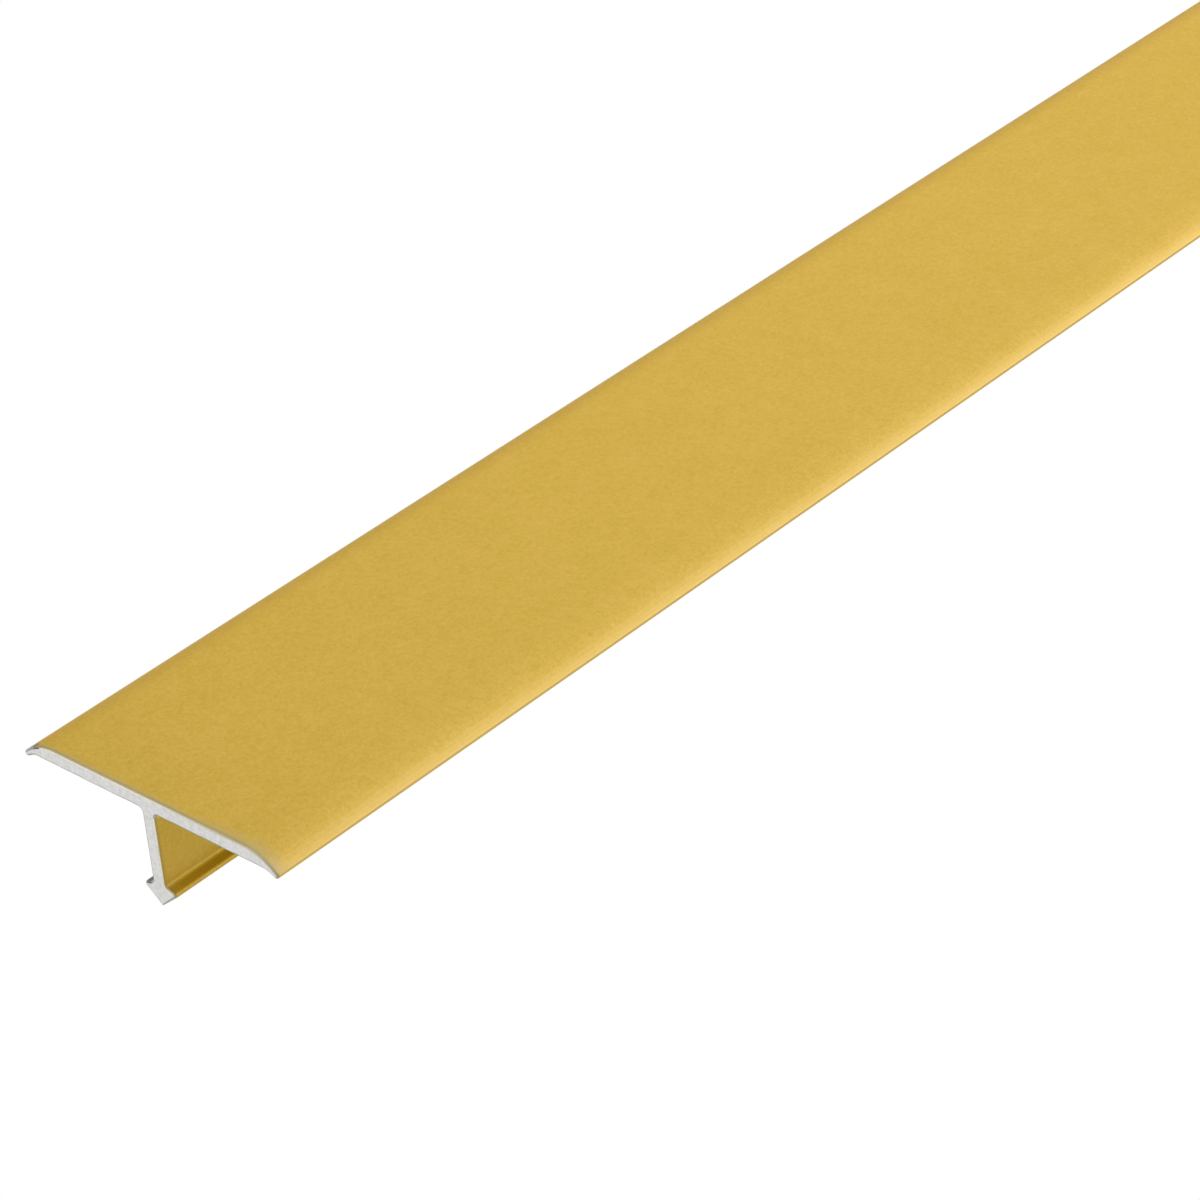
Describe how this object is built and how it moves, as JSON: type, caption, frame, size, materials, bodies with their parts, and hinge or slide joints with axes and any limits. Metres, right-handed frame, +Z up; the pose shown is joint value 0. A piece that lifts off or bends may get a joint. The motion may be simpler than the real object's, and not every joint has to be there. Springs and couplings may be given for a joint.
{
  "type": "threshold strip",
  "caption": "T-section threshold strip: a thin cover with rounded, down-turned edges on a central leg, whose arrowhead foot keys into the joint between floor coverings.",
  "frame": {"origin": "middle of the strip's length and width, level with the finished floor on which the lips of the cover rest", "axes": "+Y along the strip, +X across its width, +Z up out of the floor; the leg points down along -Z"},
  "size_m": [0.026, 0.9, 0.0096],
  "materials": {
    "gold_anodised": "satin"
  },
  "bodies": {
    "root": {"t_profile": "gold_anodised"}
  },
  "joints": []
}
